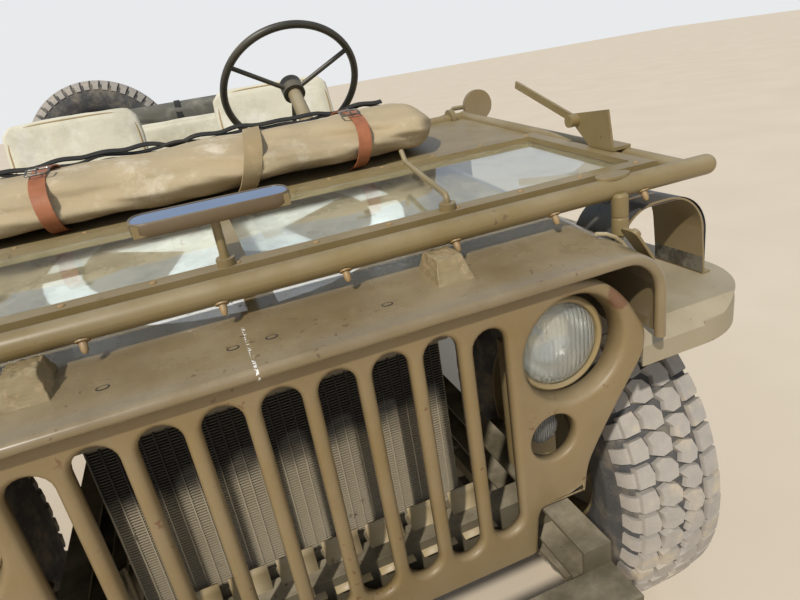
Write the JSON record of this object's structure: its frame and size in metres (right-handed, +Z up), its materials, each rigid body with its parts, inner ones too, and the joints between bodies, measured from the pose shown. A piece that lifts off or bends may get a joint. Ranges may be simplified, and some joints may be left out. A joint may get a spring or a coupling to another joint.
{
  "type": "open army 4x4 car",
  "caption": "Open army 4x4 car with a slotted grille, folded windshield, canvas seats, spare wheel, steering and rolling wheels.",
  "frame": {"origin": "on the ground, under the middle of the car's box", "axes": "+Z up, +Y to the car's rear, +X to the car's left"},
  "size_m": [1.575, 3.33, 1.346],
  "materials": {
    "paint": "satin olive khaki army paint, dusty and chipped",
    "chassis": "matt olive paint, dusty",
    "engine": "painted iron, dusty",
    "radiator": "dusty fins",
    "exhaust": "rusty steel",
    "lamp": "painted bowl with a clear fluted lens",
    "wood": "painted hardwood, worn",
    "seat_tube": "dark olive tube",
    "seat_canvas": "pale sage canvas",
    "top_canvas": "dark grey-olive waterproofed canvas",
    "cover_canvas": "brown canvas",
    "tyre": "black rubber, dusty",
    "steering_wheel": "dark olive",
    "glass": "clear flat glass"
  },
  "bodies": {
    "root": {"frame": "chassis", "bumpers": "paint", "axles": "chassis", "leaf_springs": "chassis", "engine": "engine", "gearbox": "chassis", "radiator": "radiator", "exhaust": "exhaust", "grille": "paint", "lamps": "lamp", "hood": "paint", "hood_blocks": "wood", "fender_left": "paint", "fender_right": "paint", "cowl": "paint", "floor": "paint", "body_side_left": "paint", "body_side_right": "paint", "rear_panel": "paint", "body_fittings": "paint", "controls": "paint", "fixed_seat_frames": "seat_tube", "fixed_seat_pads": "seat_canvas", "fuel_tank": "paint", "top_bow": "seat_tube", "folded_top": "top_canvas", "spare_tyre": "tyre", "spare_wheel": "paint"},
    "left_knuckle": {"knuckle_left": "chassis"},
    "right_knuckle": {"knuckle_right": "chassis"},
    "tie_rod": {"tie_rod": "chassis"},
    "steering_wheel": {"steering_wheel": "steering_wheel"},
    "windshield": {"windshield_frame": "paint", "windshield_glass": "glass", "windshield_fittings": "paint", "stowed_cover": "cover_canvas"},
    "passenger_seat": {"passenger_seat_frame": "seat_tube", "passenger_seat_pads": "seat_canvas"},
    "front_left_wheel": {"tyre_front_left": "tyre", "wheel_front_left": "paint"},
    "front_right_wheel": {"tyre_front_right": "tyre", "wheel_front_right": "paint"},
    "rear_left_wheel": {"tyre_rear_left": "tyre", "wheel_rear_left": "paint"},
    "rear_right_wheel": {"tyre_rear_right": "tyre", "wheel_rear_right": "paint"}
  },
  "joints": [
    {"name": "steer_left", "type": "hinge", "parent": "root", "child": "left_knuckle", "pos_m": [0.5275, -1.115, 0.375], "axis": [0, 0, 1], "range_deg": [-22, 22]},
    {"name": "steer_right", "type": "hinge", "parent": "root", "child": "right_knuckle", "pos_m": [-0.5275, -1.115, 0.375], "axis": [0, 0, 1], "range_deg": [-22, 22]},
    {"name": "tie_rod_pivot", "type": "hinge", "parent": "left_knuckle", "child": "tie_rod", "pos_m": [0.5275, -0.965, 0.26], "axis": [0, 0, 1], "range_deg": [-22, 22]},
    {"name": "steering_wheel_turn", "type": "hinge", "parent": "root", "child": "steering_wheel", "pos_m": [0.345, -0.163, 1.169], "axis": [0, 0.7986, 0.6018], "range_deg": [-308, 308]},
    {"name": "front_left_spin", "type": "hinge", "parent": "left_knuckle", "child": "front_left_wheel", "pos_m": [0.6225, -1.115, 0.375], "axis": [1, 0, 0], "continuous": true},
    {"name": "front_right_spin", "type": "hinge", "parent": "right_knuckle", "child": "front_right_wheel", "pos_m": [-0.6225, -1.115, 0.375], "axis": [1, 0, 0], "continuous": true},
    {"name": "rear_left_spin", "type": "hinge", "parent": "root", "child": "rear_left_wheel", "pos_m": [0.6225, 0.917, 0.375], "axis": [1, 0, 0], "continuous": true},
    {"name": "rear_right_spin", "type": "hinge", "parent": "root", "child": "rear_right_wheel", "pos_m": [-0.6225, 0.917, 0.375], "axis": [1, 0, 0], "continuous": true},
    {"name": "windshield_hinge", "type": "hinge", "parent": "root", "child": "windshield", "pos_m": [0, -0.649, 1.034], "axis": [-1, 0, 0], "range_deg": [0, 95]},
    {"name": "passenger_seat_tip", "type": "hinge", "parent": "root", "child": "passenger_seat", "pos_m": [-0.36, -0.13, 0.627], "axis": [1, 0, 0], "range_deg": [0, 60]}
  ],
  "couplings": [
    {"joint": "steer_right", "follows": "steer_left", "ratio": 1},
    {"joint": "tie_rod_pivot", "follows": "steer_left", "ratio": -1},
    {"joint": "steering_wheel_turn", "follows": "steer_left", "ratio": 14}
  ]
}
